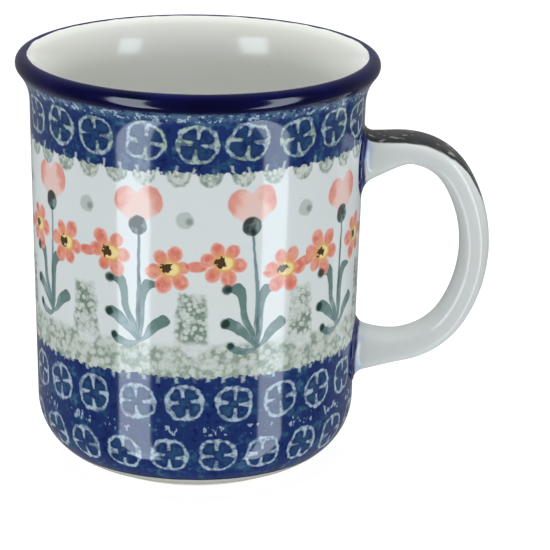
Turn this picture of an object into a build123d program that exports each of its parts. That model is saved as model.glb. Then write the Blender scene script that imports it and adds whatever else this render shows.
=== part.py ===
"""Stoneware mug: a jiggered cup with a pulled strap handle, and the coats of glaze and colour on both.

Millimetres, +Z up. The origin is the centre of the foot ring's rest plane, on the cup's axis.
The handle points along +X. Nothing moves.
"""

from build123d import *
import os

os.makedirs("parts", exist_ok=True)

# ---- driving dimensions: cup ----
HEIGHT = 100.0              # table to lip
LIP_RADIUS = 43.3           # widest point of the rolled lip
LIP_ROUND = 2.2             # half the thickness of the lip
NECK_Z = 88.5               # where the straight wall begins to flare
NECK_RADIUS = 39.9
BASE_RADIUS = 37.95         # the straight wall carried down to the belly, before its corner is rounded
HEEL_ROUND = 15.0           # round of the outer corner
BELLY_Z = 1.0               # underside of the glazed form, above the table
WALL_AT_NECK = 3.9
WALL_AT_BASE = 3.7
FLOOR_Z = 6.9               # drinking surface of the floor
FLOOR_ROUND = 12.5          # round of the inner corner
FOOT_RADIUS = 24.7          # outside of the unglazed foot ring
FOOT_WIDTH = 3.2
FOOT_EDGE_ROUND = 0.4

# ---- driving dimensions: coats of glaze and colour ----
COAT = 0.4                  # fired thickness of every coat
RIM_BAND_Z = 95.9           # lower edge of the rim band, outside
RIM_BAND_INNER_RADIUS = 40.3    # where the rim band ends on top of the lip
UPPER_BAND_Z = 81.3         # lower edge of the upper stamped band
LOWER_BAND_TOP_Z = 32.1     # upper edge of the lower stamped band
LOWER_BAND_Z = 4.9          # lower edge of the lower stamped band, on the heel

# ---- driving dimensions: handle ----
STRAP_WIDTH = 12.4
STRAP_THICKNESS = 7.2
STRAP_ROUND = 2.9           # round of the strap's long edges
UPPER_RUN_START = (36.0, 75.7)  # inside the wall, trimmed to it later
UPPER_RUN = 11.27
UPPER_RISE = 10.0           # degrees, the upper run climbs away from the wall
SHOULDER_RADIUS = 14.5
SHOULDER_TURN = 69.4
BACK_RADIUS = 33.0
BACK_TURN = 61.6
HEEL_BEND_RADIUS = 18.0
HEEL_BEND_TURN = 48.0
LOWER_RUN = 14.3

# Each slip joint grows out of the strap and swells towards the wall:
# distance from the axis, height, width, depth and corner round of its sections.
UPPER_JOINT = [(52.0, 77.7, 11.4, 6.2, 2.6), (45.5, 76.9, 13.2, 8.8, 3.5), (36.0, 74.2, 15.8, 14.6, 5.0)]
LOWER_JOINT = [(52.0, 29.1, 11.4, 6.2, 2.6), (45.5, 27.9, 13.2, 8.6, 3.5), (36.0, 28.3, 15.4, 14.0, 5.0)]

# ---- driving dimensions: brush stroke on the spine of the handle, seen from above ----
STROKE_START_X = 43.0
STROKE_WIDE_X = 52.0
STROKE_TIP_X = 70.0
STROKE_BLUNT_WIDTH = 5.0
STROKE_WIDTH = 9.6
STROKE_TIP_WIDTH = 0.8
STROKE_LOWEST_Z = 58.0      # the stroke runs out halfway down the back of the handle

CLEAR = 60.0                # reach of a cutting shape beyond the cup's radius
OVER = 10.0                 # reach of a cutting shape beyond the cup's height

# ---- worked out from them ----
NECK = (NECK_RADIUS, NECK_Z)
LIP_CENTRE = (LIP_RADIUS - LIP_ROUND, HEIGHT - LIP_ROUND)
LIP_TOP = (LIP_CENTRE[0], HEIGHT)
INNER_NECK = (NECK_RADIUS - WALL_AT_NECK, NECK_Z)
INNER_CORNER = (BASE_RADIUS - WALL_AT_BASE, FLOOR_Z)
OUTER_CORNER = (BASE_RADIUS, BELLY_Z)


def flare_end(neck, lip_side):
    """Where a flare that leaves the neck upright runs smoothly into the lip's round.

    The flare is an arc. The lip's round touches it from outside (lip_side 1) or inside (-1).
    """
    reach = LIP_CENTRE[0] - neck[0]
    rise = LIP_CENTRE[1] - neck[1]
    touch = lip_side * LIP_ROUND
    radius = (reach**2 + rise**2 - LIP_ROUND**2) / (2 * (touch + reach))
    share = radius / (radius + touch)
    return (neck[0] + radius + share * (reach - radius), neck[1] + share * rise)


LIP_UNDERSIDE = flare_end(NECK, 1)
LIP_INSIDE = flare_end(INNER_NECK, -1)


# ---- sections of the cup, drawn in the XZ plane ----
with BuildSketch(Plane.XZ) as glazed_form:      # the whole outer form, filled in
    with BuildLine():
        Line((0, BELLY_Z), OUTER_CORNER)
        side = Line(OUTER_CORNER, NECK)
        flare = TangentArc(NECK, LIP_UNDERSIDE, tangent=side % 1)
        TangentArc(LIP_UNDERSIDE, LIP_TOP, tangent=flare % 1)
        Line(LIP_TOP, (0, HEIGHT))
        Line((0, HEIGHT), (0, BELLY_Z))
    make_face()
    fillet(glazed_form.vertices().sort_by_distance((BASE_RADIUS, 0, BELLY_Z))[0], radius=HEEL_ROUND)

with BuildSketch(Plane.XZ) as cavity:           # the space inside the cup and above it
    with BuildLine():
        Line((0, FLOOR_Z), INNER_CORNER)
        inner_side = Line(INNER_CORNER, INNER_NECK)
        inner_flare = TangentArc(INNER_NECK, LIP_INSIDE, tangent=inner_side % 1)
        TangentArc(LIP_INSIDE, LIP_TOP, tangent=inner_flare % 1)
        Line(LIP_TOP, (LIP_TOP[0], HEIGHT + OVER))
        Line((LIP_TOP[0], HEIGHT + OVER), (0, HEIGHT + OVER))
        Line((0, HEIGHT + OVER), (0, FLOOR_Z))
    make_face()
    fillet(cavity.vertices().sort_by_distance((INNER_CORNER[0], 0, FLOOR_Z))[0], radius=FLOOR_ROUND)

with BuildSketch(Plane.XZ) as glazed_wall:      # wall and floor, out to the glazed surfaces
    add(glazed_form.sketch)
    add(cavity.sketch, mode=Mode.SUBTRACT)

with BuildSketch(Plane.XZ) as bare_wall:        # the same wall without its coats
    add(glazed_wall.sketch)
    mirror(about=Plane.YZ)                      # a full section keeps its thickness at the axis
    offset(amount=-COAT)
    with Locations((CLEAR / 2, HEIGHT / 2)):
        Rectangle(CLEAR, HEIGHT + OVER, mode=Mode.INTERSECT)

with BuildSketch(Plane.XZ) as foot_ring:
    with Locations((FOOT_RADIUS - FOOT_WIDTH / 2, BELLY_Z)):
        Rectangle(FOOT_WIDTH, 2 * BELLY_Z)
    fillet(foot_ring.vertices().group_by(Axis.Z)[0], radius=FOOT_EDGE_ROUND)

with BuildSketch(Plane.XZ) as bare_form:        # the unglazed outer form, filled in
    add(glazed_form.sketch)
    mirror(about=Plane.YZ)
    offset(amount=-COAT)
    with Locations((CLEAR / 2, HEIGHT / 2)):
        Rectangle(CLEAR, HEIGHT + OVER, mode=Mode.INTERSECT)

with BuildSketch(Plane.XZ) as coats:            # every coat on the cup, before it is parted
    add(glazed_wall.sketch)
    add(bare_wall.sketch, mode=Mode.SUBTRACT)
    add(foot_ring.sketch, mode=Mode.SUBTRACT)

with BuildSketch(Plane.XZ) as inner_side:       # the cavity and half the wall, in to the rim band
    add(cavity.sketch)
    mirror(about=Plane.YZ)
    offset(amount=WALL_AT_BASE / 2)
    Rectangle(
        RIM_BAND_INNER_RADIUS, HEIGHT + OVER, align=(Align.MIN, Align.MIN), mode=Mode.INTERSECT
    )

with BuildSketch(Plane.XZ) as outer_coats:
    add(coats.sketch)
    add(inner_side.sketch, mode=Mode.SUBTRACT)


# ---- handle: the strap's route and the forms made along it ----
with BuildLine(Plane.XZ) as strap_route:
    upper_run = PolarLine(UPPER_RUN_START, UPPER_RUN, UPPER_RISE)
    shoulder = JernArc(upper_run @ 1, upper_run % 1, SHOULDER_RADIUS, -SHOULDER_TURN)
    back = JernArc(shoulder @ 1, shoulder % 1, BACK_RADIUS, -BACK_TURN)
    heel_bend = JernArc(back @ 1, back % 1, HEEL_BEND_RADIUS, -HEEL_BEND_TURN)
    Line(heel_bend @ 1, heel_bend @ 1 + (heel_bend % 1) * LOWER_RUN)

ROUTE_START = Plane(origin=strap_route.line @ 0, x_dir=(0, 1, 0), z_dir=strap_route.line % 0)


def make_strap(inset):
    """The strap along its whole route, its surface moved in by inset."""
    with BuildPart() as strap_form:
        with BuildSketch(ROUTE_START):
            RectangleRounded(
                STRAP_WIDTH - 2 * inset, STRAP_THICKNESS - 2 * inset, STRAP_ROUND - inset
            )
        sweep(path=strap_route.wires()[0])
    return strap_form.part


def make_joint(sections, inset):
    """The swelling between strap and wall, its surface moved in by inset."""
    with BuildPart() as joint_form:
        for distance, height, width, depth, corner in sections:
            with BuildSketch(Plane(origin=(distance, 0, height), x_dir=(0, 1, 0), z_dir=(1, 0, 0))):
                RectangleRounded(width - 2 * inset, depth - 2 * inset, corner - inset)
        loft()
    return joint_form.part


glazed_strap = make_strap(0)
bare_strap = make_strap(COAT)

with BuildPart() as bare_cup_form:
    add(bare_form.sketch)
    revolve(axis=Axis.Z)

with BuildPart() as glazed_handle_form:         # strap and both swellings, out to the glaze
    add(glazed_strap)
    add(make_joint(UPPER_JOINT, 0))
    add(make_joint(LOWER_JOINT, 0))
    add(bare_cup_form.part, mode=Mode.SUBTRACT)


# ---- 1: the cup's body: wall, floor and unglazed foot ring ----
with BuildPart() as cup_body:
    with BuildSketch(Plane.XZ):
        add(bare_wall.sketch)
        add(foot_ring.sketch)
    revolve(axis=Axis.Z)
cup_body.part.label = "cup_body"

# ---- 2: the handle: a strap butted against the wall at both ends ----
with BuildPart() as handle:
    add(bare_strap)
    add(bare_cup_form.part, mode=Mode.SUBTRACT)
handle.part.label = "handle"

# ---- 3, 4: slip joints: soft clay worked round each end of the strap ----
with BuildPart() as upper_slip_joint:
    add(make_joint(UPPER_JOINT, COAT))
    add(bare_strap, mode=Mode.SUBTRACT)
    add(bare_cup_form.part, mode=Mode.SUBTRACT)
upper_slip_joint.part.label = "upper_slip_joint"

with BuildPart() as lower_slip_joint:
    add(make_joint(LOWER_JOINT, COAT))
    add(bare_strap, mode=Mode.SUBTRACT)
    add(bare_cup_form.part, mode=Mode.SUBTRACT)
lower_slip_joint.part.label = "lower_slip_joint"


# ---- 5 to 11: coats on the cup, each a closed ring or bowl parted from its neighbours ----
def make_cup_coat(low, high, near=0, far=CLEAR):
    """The outside coat between two heights and two radii."""
    with BuildPart() as coat_form:
        with BuildSketch(Plane.XZ):
            add(outer_coats.sketch)
            with Locations((near, low)):
                Rectangle(far - near, high - low, align=(Align.MIN, Align.MIN), mode=Mode.INTERSECT)
        revolve(axis=Axis.Z)
        add(glazed_handle_form.part, mode=Mode.SUBTRACT)
    return coat_form.part


with BuildPart() as rim_band:
    add(make_cup_coat(RIM_BAND_Z, HEIGHT + OVER))
rim_band.part.label = "rim_band"

with BuildPart() as upper_stamped_band:
    add(make_cup_coat(UPPER_BAND_Z, RIM_BAND_Z))
upper_stamped_band.part.label = "upper_stamped_band"

with BuildPart() as flower_frieze:
    add(make_cup_coat(LOWER_BAND_TOP_Z, UPPER_BAND_Z))
flower_frieze.part.label = "flower_frieze"

with BuildPart() as lower_stamped_band:
    add(make_cup_coat(LOWER_BAND_Z, LOWER_BAND_TOP_Z))
lower_stamped_band.part.label = "lower_stamped_band"

with BuildPart() as heel_glaze:
    add(make_cup_coat(0, LOWER_BAND_Z, near=FOOT_RADIUS))
heel_glaze.part.label = "heel_glaze"

with BuildPart() as underside_glaze:
    add(make_cup_coat(0, LOWER_BAND_Z, far=FOOT_RADIUS - FOOT_WIDTH))
underside_glaze.part.label = "underside_glaze"

with BuildPart() as inner_glaze:
    with BuildSketch(Plane.XZ):
        add(coats.sketch)
        add(inner_side.sketch, mode=Mode.INTERSECT)
    revolve(axis=Axis.Z)
inner_glaze.part.label = "inner_glaze"


# ---- 12, 13: coats on the handle: the clear glaze, and the brush stroke set into it ----
with BuildPart() as stroke_reach:               # the column under the stroke's outline
    with BuildSketch(Plane.XY.offset(STROKE_LOWEST_Z)):
        with BuildLine():
            Polyline(
                (STROKE_START_X, -STROKE_BLUNT_WIDTH / 2),
                (STROKE_WIDE_X, -STROKE_WIDTH / 2),
                (STROKE_TIP_X, -STROKE_TIP_WIDTH / 2),
                (STROKE_TIP_X + OVER, -STROKE_TIP_WIDTH / 2),
                (STROKE_TIP_X + OVER, STROKE_TIP_WIDTH / 2),
                (STROKE_TIP_X, STROKE_TIP_WIDTH / 2),
                (STROKE_WIDE_X, STROKE_WIDTH / 2),
                (STROKE_START_X, STROKE_BLUNT_WIDTH / 2),
                close=True,
            )
        make_face()
    extrude(amount=HEIGHT - STROKE_LOWEST_Z)

with BuildPart() as handle_coat:                # every coat on the handle, before it is parted
    add(glazed_handle_form.part)
    add(handle.part, mode=Mode.SUBTRACT)
    add(upper_slip_joint.part, mode=Mode.SUBTRACT)
    add(lower_slip_joint.part, mode=Mode.SUBTRACT)

with BuildPart() as spine_side:                 # what lies outside the strap's middle line
    with BuildSketch(ROUTE_START):
        with Locations((0, STRAP_THICKNESS / 2)):
            Rectangle(STRAP_WIDTH, STRAP_THICKNESS)
    sweep(path=strap_route.wires()[0])

with BuildPart() as spine_stroke:
    add(handle_coat.part)
    add(stroke_reach.part, mode=Mode.INTERSECT)
    add(spine_side.part, mode=Mode.INTERSECT)
spine_stroke.part.label = "spine_stroke"

with BuildPart() as handle_glaze:
    add(handle_coat.part)
    add(spine_stroke.part, mode=Mode.SUBTRACT)
handle_glaze.part.label = "handle_glaze"

PIECES = (
    cup_body, handle, upper_slip_joint, lower_slip_joint,
    rim_band, upper_stamped_band, flower_frieze, lower_stamped_band,
    heel_glaze, underside_glaze, inner_glaze, handle_glaze, spine_stroke,
)
for piece in PIECES:
    export_step(piece.part, f"parts/{piece.part.label}.step")
    box = piece.part.bounding_box()
    print(piece.part.label, len(piece.part.solids()), round(piece.part.volume, 1), box.min, box.max)
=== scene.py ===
"""Looks of the stoneware mug: fine meshes of its coats, strap and body, and their painted materials.

Lengths are millimetres up to the moment a mesh is made, and azimuths run from +X, where the handle is.
"""

import math

import bmesh
import bpy
import numpy as np
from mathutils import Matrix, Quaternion, Vector


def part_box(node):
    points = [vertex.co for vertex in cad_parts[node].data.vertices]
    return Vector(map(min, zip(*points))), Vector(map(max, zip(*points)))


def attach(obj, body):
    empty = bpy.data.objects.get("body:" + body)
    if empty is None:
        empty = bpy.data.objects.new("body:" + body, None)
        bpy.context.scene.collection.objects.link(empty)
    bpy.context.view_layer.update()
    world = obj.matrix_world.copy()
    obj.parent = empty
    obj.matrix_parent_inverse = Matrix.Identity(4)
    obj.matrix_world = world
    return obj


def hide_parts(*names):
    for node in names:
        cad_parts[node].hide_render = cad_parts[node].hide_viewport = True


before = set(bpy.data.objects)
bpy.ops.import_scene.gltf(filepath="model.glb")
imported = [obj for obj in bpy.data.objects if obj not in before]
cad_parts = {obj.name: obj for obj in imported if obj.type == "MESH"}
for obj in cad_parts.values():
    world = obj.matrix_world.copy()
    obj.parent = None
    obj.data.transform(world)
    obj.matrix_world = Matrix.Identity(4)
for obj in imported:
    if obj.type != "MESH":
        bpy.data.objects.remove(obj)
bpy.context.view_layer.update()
MM = 0.001


def node_box(node):
    """A CAD node's lowest and highest corners, in millimetres."""
    return [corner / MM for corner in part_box(node)]


# ---- sizes read from the frame ----
HEIGHT = node_box("rim_band")[1].z
LIP_RADIUS = node_box("rim_band")[1].y
RIM_BAND_Z = node_box("rim_band")[0].z
UPPER_BAND_Z = node_box("upper_stamped_band")[0].z
LOWER_BAND_TOP_Z = node_box("flower_frieze")[0].z
LOWER_BAND_Z = node_box("lower_stamped_band")[0].z
BELLY_Z = node_box("heel_glaze")[0].z

# ---- sizes of the cup, as in the part ----
LIP_ROUND = 2.2
NECK_Z = 88.5
NECK_RADIUS = 39.9
BASE_RADIUS = 37.95
HEEL_ROUND = 15.0
WALL_AT_NECK = 3.9
WALL_AT_BASE = 3.7
FLOOR_Z = 6.9
FLOOR_ROUND = 12.5
FOOT_RADIUS = 24.7
FOOT_WIDTH = 3.2
FOOT_EDGE_ROUND = 0.4
RIM_BAND_INNER_RADIUS = 40.3
COAT = 0.4

# ---- sizes of the handle, as in the part ----
STRAP_WIDTH = 12.4
STRAP_THICKNESS = 7.2
ROUTE_START = (36.0, 75.7)
ROUTE_TURNS = [(11.27, 0.0), (14.5, 69.4), (33.0, 61.6), (18.0, 48.0), (14.3, 0.0)]
ROUTE_RISE = 10.0

# ---- decoration ----
WALL_SLOPE = (NECK_RADIUS - BASE_RADIUS) / (NECK_Z - BELLY_Z)
ROUND = 2 * math.pi * 39.3      # once round the painted wall
PLANTS = 9                      # flowering plants round the frieze
STAMPS = 21                     # ring stamps in a row
SCALLOPS = 33                   # half rounds of sponge print round the top of the frieze

IOR = 1.5                       # of fired glaze and clay
SEGMENTS = 480                  # divisions of every turned surface
DENSE = 0.04                    # spacing of the outline's working points
SHOWN_SHARE = 0.92              # of the bake map's height, for the surface that is seen
HIDDEN_V, HIDDEN_TALL = 0.94, 0.05      # the strip above it, for the underside of a coat


# ======================================================================
# Camera, stage and light
# ======================================================================
def make_camera():
    aim = Vector((18.98, 0.0, 45.24)) * MM
    distance, elevation, roll = 724.5 * MM, math.radians(17.51), math.radians(0.95)
    forward = Vector((0, math.cos(elevation), -math.sin(elevation)))
    data = bpy.data.cameras.new("camera")
    data.lens, data.sensor_width = 196.36, 36.0
    camera = bpy.data.objects.new("camera", data)
    bpy.context.scene.collection.objects.link(camera)
    camera.rotation_mode = "QUATERNION"
    camera.rotation_quaternion = forward.to_track_quat("-Z", "Y") @ Quaternion((0, 0, 1), roll)
    camera.location = aim - forward * distance
    bpy.context.scene.camera = camera


def make_area_light(name, width, height, radiance, colour, glossy):
    """A light for the glaze's reflections only, or for everything but them."""
    data = bpy.data.lights.new(name, "AREA")
    data.shape, data.size, data.size_y = "RECTANGLE", width, height
    data.energy = radiance * math.pi * width * height
    data.color = colour
    light = bpy.data.objects.new(name, data)
    bpy.context.scene.collection.objects.link(light)
    light.visible_camera = False
    light.visible_glossy = glossy
    light.visible_diffuse = not glossy
    return light


def make_softbox(name, azimuth, width, low, high, sheen, glow):
    """A tall upright softbox that faces the mug: how bright it reflects and how bright it lights."""
    distance = 0.9
    angle = math.radians(azimuth)
    for part, radiance, glossy in (("sheen", sheen, True), ("glow", glow, False)):
        light = make_area_light(f"{name}_{part}", width, high - low, radiance, (0.80, 0.91, 1.0), glossy)
        light.location = (distance * math.cos(angle), distance * math.sin(angle), (low + high) / 2)
        light.rotation_euler = (math.pi / 2, 0, angle + math.pi / 2)


def make_overhead(radiance):
    light = make_area_light("overhead", 0.9, 0.9, radiance, (1.0, 0.99, 0.96), False)
    light.location = (0.0, 0.1, 0.95)


def add_node(tree, kind, inputs=(), **settings):
    """A new shader node with its settings, and with its inputs linked or filled in."""
    node = tree.nodes.new("ShaderNode" + kind)
    for name, value in settings.items():
        setattr(node, name, value)
    for name, value in dict(inputs).items():
        plug(tree, value, node.inputs[name])
    return node


def plug(tree, value, socket):
    """Links a field or a node's output to a socket, or writes a number or a colour there."""
    value = value.socket if isinstance(value, Field) else value
    if isinstance(value, bpy.types.NodeSocket):
        tree.links.new(value, socket)
    else:
        socket.default_value = linear(value) if isinstance(value, str) else value


def make_world():
    """Pale all round for the camera; for the glaze a pale backdrop behind and a dim room in front."""
    dim_room, pale_backdrop = 0.04, 0.22
    fill_light, seen_white = 0.47, 1.0
    world = bpy.data.worlds.new("studio")
    bpy.context.scene.world = world
    world.use_nodes = True
    tree = world.node_tree
    tree.nodes.clear()
    parts = add_node(tree, "SeparateXYZ", {0: add_node(tree, "TexCoord").outputs["Generated"]})
    inputs = {"Value": parts.outputs["Y"], "From Min": -0.2, "From Max": 0.75}
    inputs.update({"To Min": dim_room, "To Max": pale_backdrop})
    ramp = add_node(tree, "MapRange", inputs, interpolation_type="SMOOTHSTEP")
    path = add_node(tree, "LightPath").outputs
    plain = add_node(tree, "Mix", {"Factor": path["Is Camera Ray"], "A": fill_light, "B": seen_white})
    inputs = {"Factor": path["Is Glossy Ray"], "A": plain.outputs["Result"], "B": ramp.outputs[0]}
    mix = add_node(tree, "Mix", inputs)
    inputs = {"Color": (1.0, 1.0, 1.0, 1.0), "Strength": mix.outputs["Result"]}
    add_node(tree, "OutputWorld", {0: add_node(tree, "Background", inputs).outputs[0]})


def make_floor():
    reach = 6.0
    grey, glow = 0.22, 0.87
    mesh = bpy.data.meshes.new("floor")
    corners = [(-reach, -reach, 0.0), (reach, -reach, 0.0), (reach, reach, 0.0), (-reach, reach, 0.0)]
    mesh.from_pydata(corners, [], [(0, 1, 2, 3)])
    floor = bpy.data.objects.new("floor", mesh)
    bpy.context.scene.collection.objects.link(floor)
    material = bpy.data.materials.new("floor_white")
    material.use_nodes = True
    shader = material.node_tree.nodes["Principled BSDF"]
    shader.inputs["Base Color"].default_value = (grey, grey, grey, 1)
    shader.inputs["Roughness"].default_value = 0.9
    shader.inputs["Emission Color"].default_value = (1, 1, 1, 1)
    shader.inputs["Emission Strength"].default_value = glow
    mesh.materials.append(material)
    floor.visible_glossy = False


# ======================================================================
# Meshes
# ======================================================================
def build_surface(name, rings, closed, shown_rows, across, along):
    """A closed mesh of rings of points, each ring closed on itself.

    rings is rows x columns x 3. With closed, the last ring joins the first; otherwise the end
    rings are single points. The first shown_rows rows are the surface that is seen.
    across and along are the paint's coordinates of the columns and rows, kept as UV map "wrap";
    UV map "OFBake" lays the surface out in strips, for baking.
    """
    rows, columns = rings.shape[:2]
    mesh = bmesh.new()
    grid = []
    for row in range(rows):
        ring = rings[row]
        if not closed and row in (0, rows - 1):
            pole = mesh.verts.new(ring.mean(0) * MM)
            grid.append([pole] * columns)
        else:
            grid.append([mesh.verts.new(point * MM) for point in ring])
    wrap = mesh.loops.layers.uv.new("wrap")
    bake = mesh.loops.layers.uv.new("OFBake")
    strips = pick_strips(rings, shown_rows)
    per_strip = columns // strips
    steps = np.linalg.norm(np.diff(rings[:, 0], axis=0), axis=1) + 1e-6
    travel = np.concatenate([[0], np.cumsum(steps)])
    shown_travel = travel[shown_rows - 1]
    for row in range(rows if closed else rows - 1):
        following = (row + 1) % rows
        hidden = row >= shown_rows - 1
        for column in range(columns):
            right = column + 1
            corners = [(row, column), (row, right), (following, right), (following, column)]
            verts, kept = [], []
            for corner, (r, c) in enumerate(corners):
                vert = grid[r][c % columns]
                if vert not in verts:
                    verts.append(vert)
                    kept.append((corner, r, c))
            if len(verts) < 3:
                continue
            face = mesh.faces.new(verts)
            face.smooth = True
            strip = column // per_strip
            for loop, (corner, r, c) in zip(face.loops, kept):
                loop[wrap].uv = (across[c], along[r])
                u = (c - strip * per_strip) / per_strip
                if hidden:
                    v = HIDDEN_V + HIDDEN_TALL * (corner > 1)
                else:
                    v = (strip + 0.02 + 0.96 * travel[r] / shown_travel) * SHOWN_SHARE / strips
                loop[bake].uv = (0.01 + 0.98 * u, v)
    bmesh.ops.recalc_face_normals(mesh, faces=mesh.faces)
    data = bpy.data.meshes.new(name)
    mesh.to_mesh(data)
    mesh.free()
    data.set_sharp_from_angle(angle=math.radians(40))
    piece = bpy.data.objects.new(name, data)
    bpy.context.scene.collection.objects.link(piece)
    return piece


def pick_strips(rings, shown_rows):
    """Into how many strips the shown surface is cut so that it fills a square."""
    middle = rings[shown_rows // 2]
    ring_length = np.linalg.norm(np.roll(middle, -1, 0) - middle, axis=1).sum()
    shown_length = np.linalg.norm(np.diff(rings[:shown_rows, 0], axis=0), axis=1).sum()
    ideal = math.sqrt(SHOWN_SHARE * ring_length / shown_length)
    return max(n for n in (1, 2, 3, 4, 5, 6) if n <= max(1.0, ideal))


class Outline:
    """The cup's glazed outline, from the middle of its underside over the lip to its floor.

    Each working point has a distance along the outline, a radius, a height and the outward normal.
    """

    def __init__(self):
        self.points, self.normals = [], []

    def line(self, start, end):
        start, end = np.array(start), np.array(end)
        span = end - start
        share = np.linspace(0, 1, max(2, int(np.linalg.norm(span) / DENSE)))[:, None]
        normal = np.array([span[1], -span[0]]) / np.linalg.norm(span)
        self.points.append(start + share * span)
        self.normals.append(np.repeat(normal[None], len(share), 0))

    def arc(self, centre, radius, start, end, side):
        """From one angle to another about centre; side is 1 where the clay is inside the round."""
        length = abs(math.radians(end - start)) * radius
        angles = np.radians(np.linspace(start, end, max(2, int(length / DENSE))))
        spokes = np.stack([np.cos(angles), np.sin(angles)], 1)
        self.points.append(np.array(centre) + radius * spokes)
        self.normals.append(side * spokes)

    def close(self):
        points, normals = np.concatenate(self.points), np.concatenate(self.normals)
        steps = np.linalg.norm(np.diff(points, axis=0), axis=1)
        keep = np.concatenate([[True], steps > 1e-9])
        points, normals = points[keep], normals[keep]
        steps = np.linalg.norm(np.diff(points, axis=0), axis=1)
        self.travel = np.concatenate([[0], np.cumsum(steps)])
        self.points, self.normals = points, normals
        self.top = self.travel[np.argmax(points[:, 1])]

    def at_height(self, z):
        """Distance along the outline where the outside reaches a height."""
        outside = (self.travel <= self.top) & (self.points[:, 0] > FOOT_RADIUS)
        return np.interp(z, self.points[outside, 1], self.travel[outside])

    def at_inner_radius(self, radius):
        inside = self.travel >= self.top
        return np.interp(-radius, -self.points[inside, 0], self.travel[inside])

    def stretch(self, start, end, step):
        """Points and normals at even steps between two distances along the outline."""
        travel = np.linspace(start, end, max(2, int(round(abs(end - start) / step)) + 1))
        points = np.stack([np.interp(travel, self.travel, self.points[:, i]) for i in (0, 1)], 1)
        normals = np.stack([np.interp(travel, self.travel, self.normals[:, i]) for i in (0, 1)], 1)
        normals /= np.linalg.norm(normals, axis=1)[:, None]
        return travel, points, normals


def corner_round(radius, z, slope, size):
    """The round between a flat at z and a leaning wall: its centre, the wall's foot and the lean."""
    lean = math.atan(slope)
    centre = (radius + slope * size - size / math.cos(lean), z + size)
    foot = (centre[0] + size * math.cos(lean), centre[1] - size * math.sin(lean))
    return centre, foot, math.degrees(lean)


def cup_outline():
    lip_centre = (LIP_RADIUS - LIP_ROUND, HEIGHT - LIP_ROUND)
    neck_out, neck_in = (NECK_RADIUS, NECK_Z), (NECK_RADIUS - WALL_AT_NECK, NECK_Z)
    inner_base = BASE_RADIUS - WALL_AT_BASE
    inner_slope = (neck_in[0] - inner_base) / (NECK_Z - FLOOR_Z)
    heel, wall_foot, lean = corner_round(BASE_RADIUS, BELLY_Z, WALL_SLOPE, HEEL_ROUND)
    hollow, inner_foot, inner_lean = corner_round(inner_base, FLOOR_Z, inner_slope, FLOOR_ROUND)
    flare, flare_radius, flare_end = flare_arc(neck_out, lip_centre, 1)
    inner, inner_radius, inner_end = flare_arc(neck_in, lip_centre, -1)
    outline = Outline()
    outline.line((0, BELLY_Z), (heel[0], BELLY_Z))
    outline.arc(heel, HEEL_ROUND, -90, -lean, 1)
    outline.line(wall_foot, neck_out)
    outline.arc(flare, flare_radius, 180, flare_end, -1)
    outline.arc(lip_centre, LIP_ROUND, flare_end - 180, inner_end, 1)
    outline.arc(inner, inner_radius, inner_end, 180, 1)
    outline.line(neck_in, inner_foot)
    outline.arc(hollow, FLOOR_ROUND, -inner_lean, -90, -1)
    outline.line((hollow[0], FLOOR_Z), (0, FLOOR_Z))
    outline.close()
    return outline


def flare_arc(neck, lip_centre, side):
    """Centre, radius and end angle of the arc from an upright neck into the lip's round."""
    reach, rise = lip_centre[0] - neck[0], lip_centre[1] - neck[1]
    touch = side * LIP_ROUND
    radius = (reach**2 + rise**2 - LIP_ROUND**2) / (2 * (touch + reach))
    centre = (neck[0] + radius, neck[1])
    end = math.degrees(math.atan2(lip_centre[1] - centre[1], lip_centre[0] - centre[0]))
    return centre, radius, end % 360


OUTLINE = cup_outline()
PAINT_ZERO = OUTLINE.at_height(40.0) - 40.0 * math.hypot(1, WALL_SLOPE)


def hand_turned(azimuth, z):
    """How far a turned surface falls short of true, in millimetres: faint ovality and ripples."""
    oval = 0.05 * (1 - np.cos(2 * azimuth + 0.7)) + 0.03 * (1 + np.sin(3 * azimuth + z / 31))
    ripple = 0.006 * (1 + np.sin(z * 1.1 + 0.8 * np.sin(azimuth)))
    fade = np.clip((z - 4) / 12, 0, 1)
    return (oval + ripple) * fade


def turn(name, points, paint, closed, shown_rows):
    """A turned piece from the points of its section."""
    azimuth = np.linspace(0, 2 * math.pi, SEGMENTS, endpoint=False)[None, :]
    radius, z = points[:, :1], points[:, 1:]
    true_radius = radius - hand_turned(azimuth, z) * (radius > 20)
    x, y = true_radius * np.cos(azimuth), true_radius * np.sin(azimuth)
    rings = np.stack([x, y, np.broadcast_to(z, x.shape)], 2)
    across = np.linspace(0, 1, SEGMENTS + 1)
    return build_surface(name, rings, closed, shown_rows, across, paint)


def make_ring_coat(name, start, end, step):
    """A coat on the cup between two distances along the outline, closed by its own underside."""
    travel, points, _ = OUTLINE.stretch(start, end, step)
    back_travel, back, back_normals = OUTLINE.stretch(end, start, 4.0)
    section = np.concatenate([points, back - COAT * back_normals])
    paint = np.concatenate([travel, back_travel]) - PAINT_ZERO
    return turn(name, section, paint, True, len(travel))


def make_disc_coat(name, start, end, step):
    """A coat that reaches the axis: its shown side runs out from or in to the middle."""
    travel, points, normals = OUTLINE.stretch(start, end, step)
    if points[0, 0] > points[-1, 0]:
        travel, points, normals = travel[::-1], points[::-1], normals[::-1]
    under = (points - COAT * normals)[::-1]
    keep = np.unique(np.append(np.arange(0, len(under), 4), len(under) - 1))
    under, under_travel = under[keep], travel[::-1][keep]
    points[0, 0] = under[-1, 0] = 0.0
    section = np.concatenate([points, under])
    paint = np.concatenate([travel, under_travel]) - PAINT_ZERO
    return turn(name, section, paint, False, len(points))


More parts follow.
